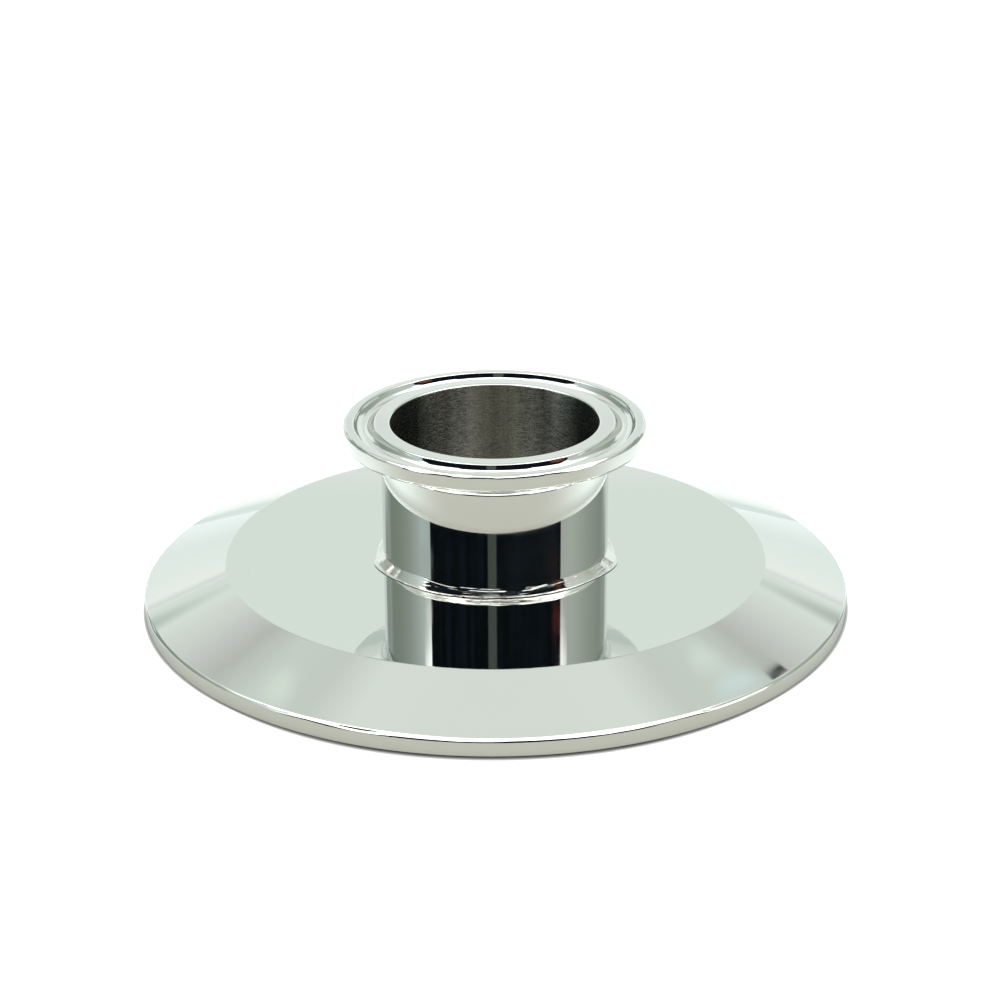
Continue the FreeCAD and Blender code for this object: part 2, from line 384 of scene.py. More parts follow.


# The bore's drawn bands by azimuth from the back in degrees, with painted reflections in the bright bands.
# Its sides are left darker than its back, as painted shade.
BORE_BANDS_AND_PAINTED_LIGHT = [
    (-60, (0.13, 0.14, 0.13)), (-50, (0.12, 0.13, 0.11)), (-38, (0.50, 0.50, 0.44)),
    (-32, (0.68, 0.64, 0.54)), (-29, (0.57, 0.53, 0.45)), (-24, (0.95, 0.91, 0.81)),
    (-15, (0.88, 0.82, 0.76)), (-7, (0.49, 0.46, 0.41)), (8, (0.44, 0.42, 0.37)), (13, (0.77, 0.75, 0.66)),
    (22, (0.98, 0.96, 0.88)), (29, (0.60, 0.59, 0.53)), (33, (0.77, 0.78, 0.72)), (37, (0.98, 1.00, 0.96)),
    (45, (0.54, 0.56, 0.54)), (54, (0.18, 0.21, 0.19)), (70, (0.12, 0.14, 0.14)),
]


def bore_steel():
    """The bore's satin 304 stainless, drawn and lightly brushed round: greyer bands run down it, with painted
    reflections and painted shade in its colour, and it smears what it mirrors up and down."""
    material, tree, shader = new_metal("drawn_satin_304_stainless")
    shader.inputs["Anisotropic"].default_value = 0.85
    upright = add_node(tree, "ShaderNodeCombineXYZ", {2: 1.0}).outputs[0]
    tree.links.new(upright, shader.inputs["Tangent"])
    # Bands from drawing run down the bore, with painted reflections and painted shade. Its front half repeats
    # those of its back half.
    at = find_place(tree)
    deep = add_node(tree, "ShaderNodeMath", {0: at["y"]}, operation="ABSOLUTE").outputs[0]
    azimuth = add_node(tree, "ShaderNodeMath", {0: at["x"], 1: deep}, operation="ARCTAN2").outputs[0]
    half_turn = add_node(
        tree, "ShaderNodeMapRange", {0: azimuth, 1: -math.pi / 2, 2: math.pi / 2},
    ).outputs[0]
    bands_and_painted_light = add_node(tree, "ShaderNodeValToRGB", {0: half_turn})
    fill_ramp(bands_and_painted_light.color_ramp, -90, 90, BORE_BANDS_AND_PAINTED_LIGHT)
    # Streaks about 1 mm wide, as long as the tube.
    streaks = turned_marks(tree, at, 20.0, 12.0, detail=3.0, roughness=0.6)
    # Brushed lines round the bore, drawn 0.2 mm wide where real ones are a tenth of that.
    brushed = turned_marks(tree, at, 16.0, 5000.0, detail=2.0)
    rough = add_node(
        tree, "ShaderNodeMapRange", {0: brushed, 1: 0.3, 2: 0.75, 3: 0.22, 4: 0.34},
    ).outputs[0]
    tree.links.new(rough, shader.inputs["Roughness"])
    texture = add_node(tree, "ShaderNodeMix", {0: 0.6, 2: streaks, 3: brushed}).outputs[0]
    shade = add_node(
        tree, "ShaderNodeMapRange", {0: texture, 1: 0.3, 2: 0.7, 3: 0.84, 4: 1.16},
    ).outputs[0]
    colour = add_node(
        tree, "ShaderNodeVectorMath", {0: bands_and_painted_light.outputs[0], "Scale": shade}, operation="SCALE",
    ).outputs[0]
    tree.links.new(colour, shader.inputs["Base Color"])
    scored = add_node(tree, "ShaderNodeBump", {"Distance": 0.0012 * MM, "Height": brushed}).outputs[0]
    tree.links.new(scored, shader.inputs["Normal"])
    return material


def weld_steel():
    """Stainless weld metal, ground and polished by hand: a bright mirror with creases along the seam."""
    material, tree, shader = new_metal("hand_polished_stainless_weld")
    at = find_place(tree)
    # Creases along the seam, about 0.3 mm wide and 3 mm long.
    creases = turned_marks(tree, at, 7.0, 3000.0, detail=2.0, roughness=0.6)
    creased = add_node(tree, "ShaderNodeBump", {"Distance": 0.045 * MM, "Height": creases}).outputs[0]
    tree.links.new(creased, shader.inputs["Normal"])
    rough = add_node(tree, "ShaderNodeMapRange", {0: creases, 1: 0.3, 2: 0.7, 3: 0.12, 4: 0.04}).outputs[0]
    tree.links.new(rough, shader.inputs["Roughness"])
    # A little straw heat tint is left in patches of about 4 mm.
    tint = add_node(
        tree, "ShaderNodeTexNoise", {"Vector": at["place"], "Scale": 250.0, "Detail": 2.0},
    ).outputs[0]
    tinted = add_node(tree, "ShaderNodeMapRange", {0: tint, 1: 0.55, 2: 0.75}).outputs[0]
    metal = add_node(
        tree, "ShaderNodeMix", {0: tinted, 6: linear("#E2E3DF"), 7: linear("#D9D0BE")}, data_type="RGBA",
    ).outputs[2]
    # Painted shade darkens the weld in the crevice along its toe, next to the disc.
    above_toe_shade_height = (PLATE_TOP + 0.12) * MM
    toe_shade_height = (PLATE_TOP + 0.06) * MM
    painted_toe_shade = add_node(
        tree, "ShaderNodeMapRange", {0: at["height"], 1: above_toe_shade_height, 2: toe_shade_height}, **SMOOTH,
    ).outputs[0]
    colour = add_node(
        tree, "ShaderNodeMix", {0: painted_toe_shade, 6: metal, 7: linear("#4A4842")}, data_type="RGBA",
    ).outputs[2]
    tree.links.new(colour, shader.inputs["Base Color"])
    return material


def disc_section(azimuth):
    """The disc's section at an azimuth in radians, with the rim's upper edge dressed off."""
    share = max(0, 1 - (math.degrees(azimuth) / FRONT_HALF) ** 2)
    facet = SIDE_FACET + (FRONT_FACET - SIDE_FACET) * share
    facet_run = facet * math.sin(EDGE_SLANT)
    facet_top = RIM_THICKNESS + facet_run * BEVEL_SLOPE
    flat_radius = LARGE_RIM_RADIUS - (PLATE_TOP - RIM_THICKNESS) / BEVEL_SLOPE
    return outline([
        (TUBE_RADIUS, 0),
        *gasket_groove(LARGE_RIM_RADIUS - LARGE_GROOVE_INSET, 0, 1),
        (LARGE_RIM_RADIUS, 0, CRISP_ROUND),
        (LARGE_RIM_RADIUS, facet_top - facet * math.cos(EDGE_SLANT), RIM_ROUND),
        (LARGE_RIM_RADIUS - facet_run, facet_top, RIM_ROUND),
        (flat_radius, PLATE_TOP, BEVEL_CORNER_ROUND),
        (TUBE_RADIUS, PLATE_TOP),
    ])


def make_disc(steel):
    """The bevelled disc with its clamp rim and the gasket groove of its underside."""
    disc = turn_piece("bevelled_clamp_disc", disc_section(math.pi), DISC_SEGMENTS)
    reshape(disc, DISC_SEGMENTS, disc_section)
    ripple_edge(
        disc, (LARGE_RIM_RADIUS, RIM_THICKNESS), inward=(-0.8, -0.6), reach=BEVEL_REACH * RIM_ROUND,
        depth=LARGE_EDGE_RIPPLE, seed=1, flats=LARGE_EDGE_FLATS,
    )
    finish_piece(disc, "clamp_cap_plate", "polished_steel", steel)


def make_ferrule(steel, bore):
    """The ferrule: a polished tube and clamp flange round a satin bore."""
    rim_foot = TOTAL_HEIGHT - RIM_THICKNESS
    neck_height = rim_foot - (SMALL_RIM_RADIUS - TUBE_RADIUS) * BEVEL_SLOPE
    groove = gasket_groove(SMALL_RIM_RADIUS - SMALL_GROOVE_INSET, TOTAL_HEIGHT, -1)
    points = outline([
        (BORE_RADIUS, 0, BORE_EDGE_ROUND),
        (TUBE_RADIUS, 0),
        (TUBE_RADIUS, neck_height, NECK_ROUND),
        (SMALL_RIM_RADIUS, rim_foot, RIM_ROUND),
        (SMALL_RIM_RADIUS, TOTAL_HEIGHT, RIM_ROUND),
        *reversed(groove),
        (BORE_RADIUS, TOTAL_HEIGHT, BORE_EDGE_ROUND),
    ])
    ferrule = turn_piece("clamp_ferrule_with_bore", points, FERRULE_SEGMENTS)
    ripple_edge(
        ferrule, (SMALL_RIM_RADIUS, TOTAL_HEIGHT), inward=(-0.7, -0.7), reach=SQUARE_REACH * RIM_ROUND,
        depth=SMALL_EDGE_RIPPLE, seed=3, flats=SMALL_TOP_FLATS,
    )
    ripple_edge(
        ferrule, (SMALL_RIM_RADIUS, rim_foot), inward=(-0.8, 0.6), reach=BEVEL_REACH * RIM_ROUND,
        depth=SMALL_EDGE_RIPPLE, seed=7, flats=SMALL_FOOT_FLATS,
    )
    finish_piece(ferrule, "clamp_ferrule", "polished_steel", steel, bore)
    for face in ferrule.data.polygons:
        middle = Vector(face.center)
        inward = middle.to_2d().dot(Vector(face.normal).to_2d()) < 0
        face.material_index = int(inward and middle.to_2d().length < (BORE_RADIUS + STRIP) * MM)


def hump(value, middle, width):
    """1 at the middle, falling off to either side over that width."""
    return math.exp(-((value - middle) / width) ** 2)


def climb(value, start, end):
    """0 up to the start, rising evenly to 1 at the end."""
    return min(1, max(0, (value - start) / (end - start)))


def soften(points):
    """Cuts the corners of an open line of points, and keeps its ends."""
    cut = [points[0]]
    for (r1, z1), (r2, z2) in zip(points, points[1:]):
        cut.append((0.75 * r1 + 0.25 * r2, 0.75 * z1 + 0.25 * z2))
        cut.append((0.25 * r1 + 0.75 * r2, 0.25 * z1 + 0.75 * z2))
    return cut + [points[-1]]


def weld_section(azimuth):
    """The weld's section at an azimuth in radians: a hollow face from the tube's swollen foot to the toe on
    the disc. In front it is narrow and steep, at the sides wide and low."""
    degrees = math.degrees(azimuth)
    turned = abs(degrees)
    width_before, width_past = WELD_FLARE_WIDTHS
    flare_width = width_before if turned < WELD_FLARE_AZIMUTH else width_past
    flare = WELD_FLARE_RIGHT if degrees > 0 else WELD_FLARE_LEFT
    low = climb(turned, *WELD_SINKS)
    reach = WELD_REACH + WELD_WIDER * climb(turned, *WELD_WIDENS)
    reach += flare * hump(turned, WELD_FLARE_AZIMUTH, flare_width)
    reach += WELD_REACH_WANDER * wander(azimuth, 3.4, 1)
    crown = WELD_CROWN + WELD_HUMP * hump(turned, WELD_HUMP_AZIMUTH, WELD_HUMP_WIDTH) - WELD_SINK * low
    crown += WELD_CROWN_WANDER * wander(azimuth, 4, 2)
    for nick, depth in WELD_NICKS:
        crown -= depth * hump(degrees, nick, WELD_NICK_WIDTH)
    run = reach - WELD_SWELL
    straight = 0.25 + 0.5 * low
    points = [
        (-0.06, crown + WELD_CLIMB + 0.2),
        (0.04, crown + WELD_CLIMB),
        (0.14, crown + 0.5 * WELD_CLIMB),
    ]
    for share in (0, 0.1, 0.2, 0.32, 0.45, 0.6, 0.8, 1):
        hollow = straight * (1 - share) + (1 - straight) * (1 - share) ** 4
        points.append((WELD_SWELL + share * run, WELD_TOE + (crown - WELD_TOE) * hollow))
    points += [(reach + 0.02, 0.05), (reach - 0.02, -0.1)]
    ridged = []
    for number, (r, z) in enumerate(soften(soften(points))):
        ridge = WELD_RIDGE * wander(azimuth, 5, 10 + 0.45 * number)
        ridged.append((TUBE_RADIUS + r + 0.6 * ridge, PLATE_TOP + z + 0.8 * ridge))
    return ridged


def make_weld(metal):
    """The weld round the tube's foot: an even ring that is then moved to its wandering section."""
    weld = turn_piece("tig_weld", weld_section(0), WELD_SEGMENTS)
    reshape(weld, WELD_SEGMENTS, weld_section)
    finish_piece(weld, "weld_bead", "weld_metal", metal)


# The tent's walls by azimuth in degrees.
WALL_LIGHT = [
    (-180, (0.97, 1.06, 1.00)), (-148, (0.68, 0.74, 0.70)), (-141, (0.52, 0.58, 0.56)),
    (-131, (0.32, 0.38, 0.33)), (-114, (0.36, 0.42, 0.37)), (-98, (0.46, 0.52, 0.48)),
    (-86, (0.60, 0.68, 0.66)), (-79, (0.72, 0.82, 0.81)), (-69, (0.66, 0.76, 0.76)),
    (66, (0.66, 0.69, 0.67)), (84, (0.68, 0.73, 0.69)), (92, (0.62, 0.68, 0.63)),
    (108, (0.50, 0.56, 0.50)), (133, (0.39, 0.44, 0.39)), (141, (0.42, 0.47, 0.43)),
    (180, (0.97, 1.06, 1.00)),
]
# The tent's back by elevation in degrees. It takes over from the walls between two azimuths.
BACK_LIGHT = [
    (0, (1.08, 1.17, 1.17)), (8, (0.97, 1.07, 1.04)), (14, (1.02, 1.12, 1.08)), (19.4, (1.10, 1.16, 1.12)),
    (20.1, (1.02, 1.08, 1.05)), (20.9, (0.87, 0.95, 0.92)), (21.6, (1.02, 1.06, 1.04)),
    (22.2, (0.90, 1.00, 0.94)), (27, (0.93, 1.02, 0.97)), (34, (0.83, 0.87, 0.84)), (41, (0.65, 0.68, 0.65)),
    (47, (0.79, 0.87, 0.81)), (55, (0.78, 0.84, 0.80)), (60, (0.95, 1.02, 0.97)), (66, (0.94, 0.99, 0.95)),
    (90, (0.95, 1.00, 0.96)),
]
BACK_AZIMUTHS = (141, 146)
# The ceiling takes over from the walls between two heights. A height in the studio is that of a ray of
# length 1.
CEILING = (0.95, 1.0, 0.96, 1)
CEILING_HEIGHTS = (0.45, 0.56)

# The lights, all at one level. A strip light hangs above the opening, from 45 to 67 degrees up in front.
# Its place and half size are those on a ceiling of height 1, with a soft edge from the first value to the
# second.
LIGHT = (3.1, 3.1, 3.1, 1)
STRIP_LIGHT_PLACE = -0.725
STRIP_LIGHT_DEPTH = (0.33, 0.27)
STRIP_LIGHT_WIDTH = (2.1, 1.8)
# A lamp stands on either side, from a front to a back azimuth in degrees and from a low to a high height.
LAMP_FRONT = (36, 39)
LAMP_BACK = (118, 106)
LAMP_LOW = (0.6, 0.66)
LAMP_HIGH = (0.985, 0.955)

# The dark room in front, beyond the tent's opening. Its walls are mottled, and a pale strip stands in it,
# whose place and half width are tangents of its azimuth.
ROOM_WALLS = [(0.004, 0.006, 0.008, 1), (0.008, 0.013, 0.021, 1)]
ROOM_STRIP = (0.10, 0.115, 0.108, 1)
ROOM_STRIP_PLACE = -0.057
ROOM_STRIP_WIDTH = (0.085, 0.065)
# The opening spreads from its middle to this tangent of its azimuth. Its top is lower under the lamps than
# between them, and its edge is soft.
OPENING_MIDDLE = 0.012
OPENING_SPREAD = 2.75
OPENING_TOPS = (0.76, 0.66)
OPENING_EDGE = 0.04

# Small things that stand in the tent and the room. Each has the middle of its azimuth and elevation, half its
# width and height, all in degrees, how soft its outline is, and its colour.
THINGS = [
    (65, 25.08, 5, 0.12, 0.7, (0.24, 0.04, 0.045)), (60, 23.8, 6, 0.22, 0.9, (0.035, 0.02, 0.018)),
    (59, 5, 7, 12.5, 0.3, (0.22, 0.085, 0.04)), (-72.5, 24.9, 3.7, 0.27, 0.7, (1.15, 1.15, 1.15)),
    (-77, 23.75, 7, 0.25, 0.9, (0.64, 0.70, 0.72)), (-146, 24.5, 6.5, 2.2, 0.5, (0.40, 0.46, 0.44)),
    (146, 24.5, 7.5, 2.2, 0.5, (0.46, 0.51, 0.47)), (148.2, 47.8, 0.4, 2.0, 0.9, (0.92, 1.02, 0.94)),
    (147.0, 46.9, 0.4, 3.0, 0.8, (0.84, 0.98, 0.98)), (-147.1, 50, 0.6, 2, 0.9, (0.93, 1.03, 0.95)),
]
# A black box leans at the back: its azimuth, elevation, half width and half height in degrees, and how far it
# goes aside for each degree that it rises. Its edges are soft, between two shares of its half size.
BOX_PLACE = (147.22, 41.2)
BOX_HALF_SIZE = (0.15, 1.5)
BOX_LEAN = -0.21
BOX_EDGE = (1.15, 0.85)


def find_aim(tree):
    """Where a ray goes: its direction and the parts of that, its azimuth, how far that is turned from the
    front to either side, and its elevation, with the angles in radians."""
    ray = add_node(tree, "ShaderNodeTexCoord").outputs["Generated"]
    x, y, z = add_node(tree, "ShaderNodeSeparateXYZ", {0: ray}).outputs
    front = add_node(tree, "ShaderNodeMath", {0: y, 1: -1.0}, operation="MULTIPLY").outputs[0]
    azimuth = add_node(tree, "ShaderNodeMath", {0: x, 1: front}, operation="ARCTAN2").outputs[0]
    turned = add_node(tree, "ShaderNodeMath", {0: azimuth}, operation="ABSOLUTE").outputs[0]
    elevation = add_node(tree, "ShaderNodeMath", {0: z}, operation="ARCSINE").outputs[0]
    return {
        "ray": ray, "x": x, "y": y, "z": z, "front": front, "azimuth": azimuth, "turned": turned,
        "elevation": elevation,
    }


def tent_walls(tree, aim):
    """The colour of the tent's pale walls, back and ceiling."""
    around = add_node(tree, "ShaderNodeMapRange", {0: aim["azimuth"], 1: -math.pi, 2: math.pi}).outputs[0]
    wall = add_node(tree, "ShaderNodeValToRGB", {0: around})
    fill_ramp(wall.color_ramp, -180, 180, WALL_LIGHT)
    low, high = CEILING_HEIGHTS
    overhead = add_node(tree, "ShaderNodeMapRange", {0: aim["z"], 1: low, 2: high}, **SMOOTH).outputs[0]
    sides = add_node(
        tree, "ShaderNodeMix", {0: overhead, 6: wall.outputs[0], 7: CEILING}, data_type="RGBA",
    ).outputs[2]
    rise = add_node(tree, "ShaderNodeMapRange", {0: aim["elevation"], 1: 0.0, 2: math.pi / 2}).outputs[0]
    back = add_node(tree, "ShaderNodeValToRGB", {0: rise})
    fill_ramp(back.color_ramp, 0, 90, BACK_LIGHT)
    start, end = map(math.radians, BACK_AZIMUTHS)
    behind = add_node(tree, "ShaderNodeMapRange", {0: aim["turned"], 1: start, 2: end}, **SMOOTH).outputs[0]
    return add_node(
        tree, "ShaderNodeMix", {0: behind, 6: sides, 7: back.outputs[0]}, data_type="RGBA",
    ).outputs[2]


def light_area(tree, edges):
    """Where a ray meets a light, inside all of its soft edges. Each edge is a measure of the ray, with the
    value at which the light starts to show and the value from which it is whole."""
    inside = 1.0
    for measure, (start, whole) in edges:
        edge = add_node(tree, "ShaderNodeMapRange", {0: measure, 1: start, 2: whole}, **SMOOTH).outputs[0]
        inside = add_node(tree, "ShaderNodeMath", {0: inside, 1: edge}, operation="MULTIPLY").outputs[0]
    return inside


def studio_lights(tree, aim):
    """Where the strip light and the two lamps shine."""
    height = add_node(tree, "ShaderNodeMath", {0: aim["z"], 1: 0.01}, operation="MAXIMUM").outputs[0]
    over_x = add_node(tree, "ShaderNodeMath", {0: aim["x"], 1: height}, operation="DIVIDE").outputs[0]
    over_y = add_node(tree, "ShaderNodeMath", {0: aim["y"], 1: height}, operation="DIVIDE").outputs[0]
    off_x = add_node(tree, "ShaderNodeMath", {0: over_x}, operation="ABSOLUTE").outputs[0]
    shifted = add_node(
        tree, "ShaderNodeMath", {0: over_y, 1: STRIP_LIGHT_PLACE}, operation="SUBTRACT",
    ).outputs[0]
    off_y = add_node(tree, "ShaderNodeMath", {0: shifted}, operation="ABSOLUTE").outputs[0]
    strip_light = light_area(tree, [(off_x, STRIP_LIGHT_WIDTH), (off_y, STRIP_LIGHT_DEPTH)])
    front_edge = [math.radians(angle) for angle in LAMP_FRONT]
    back_edge = [math.radians(angle) for angle in LAMP_BACK]
    lamps = light_area(tree, [
        (aim["turned"], front_edge), (aim["turned"], back_edge), (aim["z"], LAMP_LOW), (aim["z"], LAMP_HIGH),
    ])
    return add_node(tree, "ShaderNodeMath", {0: lamps, 1: strip_light}, operation="MAXIMUM").outputs[0]


def dark_room(tree, aim):
    """The colour of the room behind the camera: mottled dark walls and the pale strip."""
    mottle = add_node(
        tree, "ShaderNodeTexNoise", {"Vector": aim["ray"], "Scale": 9.0, "Detail": 1.0, "Roughness": 0.6},
    ).outputs[0]
    blotch = add_node(tree, "ShaderNodeMapRange", {0: mottle, 1: 0.35, 2: 0.7}, **SMOOTH).outputs[0]
    walls = add_node(
        tree, "ShaderNodeMix", {0: blotch, 6: ROOM_WALLS[0], 7: ROOM_WALLS[1]}, data_type="RGBA",
    ).outputs[2]
    side = add_node(tree, "ShaderNodeMath", {0: aim["x"], 1: aim["front"]}, operation="DIVIDE").outputs[0]
    beside = add_node(tree, "ShaderNodeMath", {0: side, 1: ROOM_STRIP_PLACE}, operation="SUBTRACT").outputs[0]
    apart = add_node(tree, "ShaderNodeMath", {0: beside}, operation="ABSOLUTE").outputs[0]
    outer, inner = ROOM_STRIP_WIDTH
    strip = add_node(tree, "ShaderNodeMapRange", {0: apart, 1: outer, 2: inner}, **SMOOTH).outputs[0]
    return add_node(tree, "ShaderNodeMix", {0: strip, 6: walls, 7: ROOM_STRIP}, data_type="RGBA").outputs[2]


def front_opening(tree, aim):
    """Where the dark room is seen through the tent's opening."""
    aside = add_node(
        tree, "ShaderNodeMath", {0: aim["x"], 1: OPENING_MIDDLE}, operation="SUBTRACT",
    ).outputs[0]
    wide = add_node(tree, "ShaderNodeMath", {0: aside}, operation="ABSOLUTE").outputs[0]
    spread = add_node(
        tree, "ShaderNodeMath", {0: aim["front"], 1: OPENING_SPREAD}, operation="MULTIPLY",
    ).outputs[0]
    gap_x = add_node(tree, "ShaderNodeMath", {0: spread, 1: wide}, operation="SUBTRACT").outputs[0]
    start, end = map(math.radians, LAMP_FRONT)
    tops = {3: OPENING_TOPS[0], 4: OPENING_TOPS[1]}
    top = add_node(tree, "ShaderNodeMapRange", {0: aim["turned"], 1: start, 2: end, **tops}).outputs[0]
    gap_z = add_node(tree, "ShaderNodeMath", {0: top, 1: aim["z"]}, operation="SUBTRACT").outputs[0]
    gap = add_node(tree, "ShaderNodeMath", {0: gap_x, 1: gap_z}, operation="MINIMUM").outputs[0]
    return add_node(tree, "ShaderNodeMapRange", {0: gap, 1: 0.0, 2: OPENING_EDGE}, **SMOOTH).outputs[0]


def stand_thing(tree, picture, angles, thing):
    """Lays a small oval thing of the studio over the picture of its surroundings. angles is where a ray
    goes, its azimuth and elevation in one vector."""
    aside, up, half_width, half_height, soft, colour = thing
    scale = (1 / math.radians(half_width), 1 / math.radians(half_height), 0)
    offset = (-aside / half_width, -up / half_height, 0)
    off = add_node(
        tree, "ShaderNodeVectorMath", {0: angles, 1: scale, 2: offset}, operation="MULTIPLY_ADD",
    ).outputs[0]
    away = add_node(tree, "ShaderNodeVectorMath", {0: off}, operation="LENGTH").outputs["Value"]
    mask = add_node(tree, "ShaderNodeMapRange", {0: away, 1: 1 + soft, 2: 1 - soft}, **SMOOTH).outputs[0]
    return add_node(
        tree, "ShaderNodeMix", {0: mask, 6: picture, 7: (*colour, 1)}, data_type="RGBA",
    ).outputs[2]


def stand_box(tree, picture, aim):
    """Lays the black leaning box over the picture of its surroundings."""
    insides = []
    upright = add_node(
        tree, "ShaderNodeMath", {0: aim["elevation"], 1: -BOX_LEAN, 2: aim["azimuth"]},
        operation="MULTIPLY_ADD",
    ).outputs[0]
    middles = (BOX_PLACE[0] - BOX_LEAN * BOX_PLACE[1], BOX_PLACE[1])
    for angle, middle, half in zip((upright, aim["elevation"]), middles, BOX_HALF_SIZE):
        off = add_node(tree, "ShaderNodeMath", {0: angle, 1: math.radians(middle)}, operation="SUBTRACT")
        away = add_node(tree, "ShaderNodeMath", {0: off.outputs[0]}, operation="ABSOLUTE").outputs[0]
        outer, inner = (math.radians(half * share) for share in BOX_EDGE)
        insides.append(add_node(tree, "ShaderNodeMapRange", {0: away, 1: outer, 2: inner}).outputs[0])
    mask = add_node(tree, "ShaderNodeMath", {0: insides[0], 1: insides[1]}, operation="MULTIPLY").outputs[0]
    return add_node(
        tree, "ShaderNodeMix", {0: mask, 6: picture, 7: (0, 0, 0, 1)}, data_type="RGBA",
    ).outputs[2]


def light_the_studio():
    """A pale tent with a strip light and two lamps, open in front to a dark room, with small things in both.
    The camera sees it plain white."""
    world = bpy.data.worlds.new("studio_tent")
    bpy.context.scene.world = world
    world.use_nodes = True
    tree = world.node_tree
    tree.nodes.clear()
    aim = find_aim(tree)
    walls = tent_walls(tree, aim)
    lights = studio_lights(tree, aim)
    lit = add_node(tree, "ShaderNodeMix", {0: lights, 6: walls, 7: LIGHT}, data_type="RGBA").outputs[2]
    room = dark_room(tree, aim)
    opening = front_opening(tree, aim)
    studio = add_node(tree, "ShaderNodeMix", {0: opening, 6: lit, 7: room}, data_type="RGBA").outputs[2]
    angles = add_node(tree, "ShaderNodeCombineXYZ", {0: aim["azimuth"], 1: aim["elevation"]}).outputs[0]
    for thing in THINGS:
        studio = stand_thing(tree, studio, angles, thing)
    studio = stand_box(tree, studio, aim)
    seen = add_node(tree, "ShaderNodeLightPath").outputs["Is Camera Ray"]
    shown = add_node(
        tree, "ShaderNodeMix", {0: seen, 6: studio, 7: (1, 1, 1, 1)}, data_type="RGBA",
    ).outputs[2]
    background = add_node(tree, "ShaderNodeBackground", {"Color": shown, "Strength": 1.0}).outputs[0]
    add_node(tree, "ShaderNodeOutputWorld", {"Surface": background})


# What the steel mirrors of the table behind and beside the part, by distance from its axis in metres. Close
# to the disc it is shaded.
TABLE_LIGHT = [
    (0.066, (0.56, 0.60, 0.58)), (0.072, (0.95, 1.01, 0.99)), (0.085, (0.99, 1.05, 1.02)),
    (0.095, (0.86, 0.89, 0.88)), (0.11, (0.85, 0.88, 0.87)), (0.2, (0.64, 0.71, 0.70)),
]
TABLE_LIGHT_END = 0.25
# The painted shade of the table in front, as the steel mirrors it, from and to these places along it in
# millimetres, and how the table looks to all other light.
TABLE_FRONT_SHADE = (0.575, 0.56, 0.51, 1)
TABLE_FRONT_PLACES = (15, -60)
TABLE_PLAIN = (0.8, 0.8, 0.8, 1)
# How far the camera sees the table lifted, so that it is plain white outside the part's shadow.
TABLE_LIFT = 1.5
# The contact shadow beside the rim: how bright the table stays in it, and its end in millimetres from the
# rim. Both change between two places along the table, in millimetres, from the front to the sides.
SHADOW_LEVELS = (0.13, 0.55)
SHADOW_LEVEL_PLACES = (-56, -36)
SHADOW_ENDS = (2.0, 0.6)
SHADOW_END_PLACES = (-58, -44)
# It starts this far from the rim. What the steel mirrors of it has this colour, and ends sooner.
SHADOW_START = 0.1
SHADOW_COLOUR = (0.06, 0.06, 0.06, 1)
SHADOW_MIRRORED_END = 0.45
# How far inside the rim and outside the bore the opening under the disc stays, in millimetres.
UNDER_DISC_MARGIN = 0.5


def table_colour(tree, at):
    """The table's colour. The camera sees it lifted to white, with the part's own shadow kept. What the steel
    mirrors of it is dimmer and creamier in front, where the camera's stand shades it."""
    reach = add_node(tree, "ShaderNodeMapRange", {0: at["radius"], 1: 0.0, 2: TABLE_LIGHT_END}).outputs[0]
    behind = add_node(tree, "ShaderNodeValToRGB", {0: reach})
    fill_ramp(behind.color_ramp, 0, TABLE_LIGHT_END, TABLE_LIGHT)
    start, end = (place * MM for place in TABLE_FRONT_PLACES)
    shade = add_node(tree, "ShaderNodeMapRange", {0: at["y"], 1: start, 2: end}, **SMOOTH).outputs[0]
    table = add_node(
        tree, "ShaderNodeMix", {0: shade, 6: behind.outputs[0], 7: TABLE_FRONT_SHADE}, data_type="RGBA",
    ).outputs[2]
    # Right beside the rim, in its contact shadow, the table is dark, most of all in front. The rim mirrors
    # only the darkest of it.
    start, end = (place * MM for place in SHADOW_LEVEL_PLACES)
    in_front, at_sides = SHADOW_LEVELS
    darkest = add_node(
        tree, "ShaderNodeMapRange", {0: at["y"], 1: start, 2: end, 3: in_front, 4: at_sides},
    ).outputs[0]
    rim = LARGE_RIM_RADIUS * MM
    mirrored_end = (LARGE_RIM_RADIUS + SHADOW_MIRRORED_END) * MM
    close = add_node(
        tree, "ShaderNodeMapRange", {0: at["radius"], 1: rim, 2: mirrored_end, 3: darkest}, **SMOOTH,
    ).outputs[0]
    met = add_node(
        tree, "ShaderNodeMix", {0: close, 6: SHADOW_COLOUR, 7: table}, data_type="RGBA",
    ).outputs[2]
    start, end = (place * MM for place in SHADOW_END_PLACES)
    in_front, at_sides = ((LARGE_RIM_RADIUS + width) * MM for width in SHADOW_ENDS)
    shadow_end = add_node(
        tree, "ShaderNodeMapRange", {0: at["y"], 1: start, 2: end, 3: in_front, 4: at_sides},
    ).outputs[0]
    shadow_start = (LARGE_RIM_RADIUS + SHADOW_START) * MM
    lifts = {0: at["radius"], 1: shadow_start, 2: shadow_end, 3: darkest, 4: TABLE_LIFT}
    lift = add_node(tree, "ShaderNodeMapRange", lifts, **SMOOTH).outputs[0]
    rays = add_node(tree, "ShaderNodeLightPath").outputs
    mirrored = add_node(
        tree, "ShaderNodeMix", {0: rays["Is Glossy Ray"], 6: TABLE_PLAIN, 7: met}, data_type="RGBA",
    ).outputs[2]
    return add_node(
        tree, "ShaderNodeMix", {0: rays["Is Camera Ray"], 6: mirrored, 7: lift}, data_type="RGBA",
    ).outputs[2]


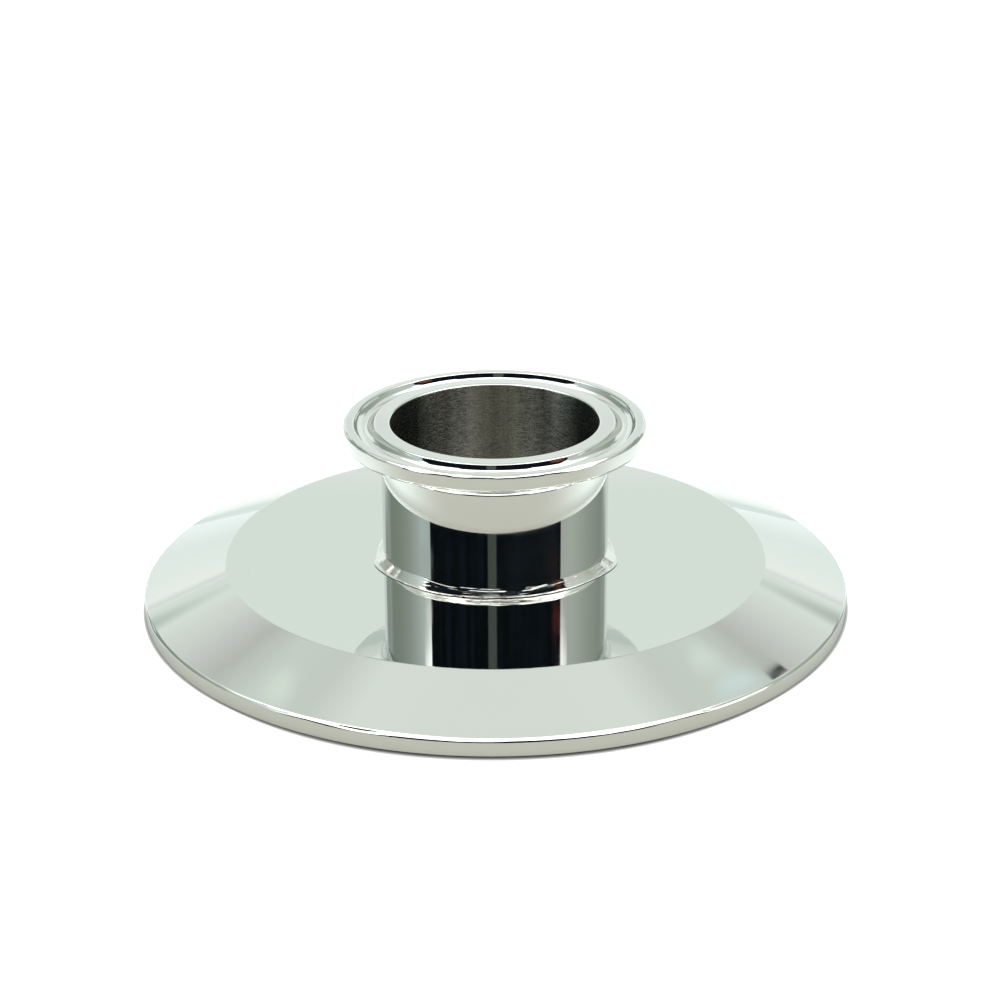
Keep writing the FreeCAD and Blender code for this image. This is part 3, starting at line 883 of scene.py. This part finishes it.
def make_floor():
    """The white table. From below it doesn't show, and it is open under the disc, so that the underside can
    be looked at."""
    bpy.ops.object.select_all(action="DESELECT")
    bpy.ops.mesh.primitive_plane_add(size=6, location=(0, 0, 0))
    floor = bpy.context.object
    floor.name = "studio_table"
    material = bpy.data.materials.new("white_table_laminate")
    material.use_nodes = True
    tree = material.node_tree
    tree.nodes.clear()
    at = find_place(tree)
    surface = add_node(tree, "ShaderNodeBsdfDiffuse", {"Color": table_colour(tree, at)}).outputs[0]
    ring_middle = (LARGE_RIM_RADIUS + BORE_RADIUS) / 2
    ring_half = (LARGE_RIM_RADIUS - BORE_RADIUS) / 2 - UNDER_DISC_MARGIN
    ring = {0: at["radius"], 1: ring_middle * MM, 2: ring_half * MM}
    under_disc = add_node(tree, "ShaderNodeMath", ring, operation="COMPARE").outputs[0]
    from_below = add_node(tree, "ShaderNodeNewGeometry").outputs["Backfacing"]
    opened = add_node(tree, "ShaderNodeMath", {0: under_disc, 1: from_below}, operation="MAXIMUM").outputs[0]
    clear = add_node(tree, "ShaderNodeBsdfTransparent").outputs[0]
    seen = add_node(tree, "ShaderNodeMixShader", {0: opened, 1: surface, 2: clear}).outputs[0]
    add_node(tree, "ShaderNodeOutputMaterial", {"Surface": seen})
    floor.data.materials.append(material)


# The photograph's view: where the camera looks and how far it stands from there, in millimetres, its
# elevation and roll in degrees, and its lens.
CAMERA_TARGET = (0.822, 0, 17.257)
CAMERA_DISTANCE = 445.722
CAMERA_ELEVATION = 22.483
CAMERA_ROLL = -0.303
CAMERA_LENS = 95.177


def place_camera():
    """Stands the camera where the photograph was taken."""
    elevation = math.radians(CAMERA_ELEVATION)
    roll = math.radians(CAMERA_ROLL)
    target = Vector(CAMERA_TARGET) * MM
    back = Vector((0, -math.cos(elevation), math.sin(elevation)))
    level_right = Vector((1, 0, 0))
    level_up = level_right.cross(-back)
    right = level_right * math.cos(roll) + level_up * math.sin(roll)
    up = level_up * math.cos(roll) - level_right * math.sin(roll)
    data = bpy.data.cameras.new("studio_camera")
    data.lens = CAMERA_LENS
    data.sensor_width = 36
    data.clip_start = 0.01
    camera = bpy.data.objects.new("studio_camera", data)
    bpy.context.scene.collection.objects.link(camera)
    pose = Matrix((right, up, back)).transposed().to_4x4()
    pose.translation = target + back * CAMERA_DISTANCE * MM
    camera.matrix_world = pose
    bpy.context.scene.camera = camera


steel = mirror_steel()
make_disc(steel)
make_ferrule(steel, bore_steel())
make_weld(weld_steel())
make_floor()
light_the_studio()
place_camera()
bpy.context.scene.view_settings.view_transform = "Standard"
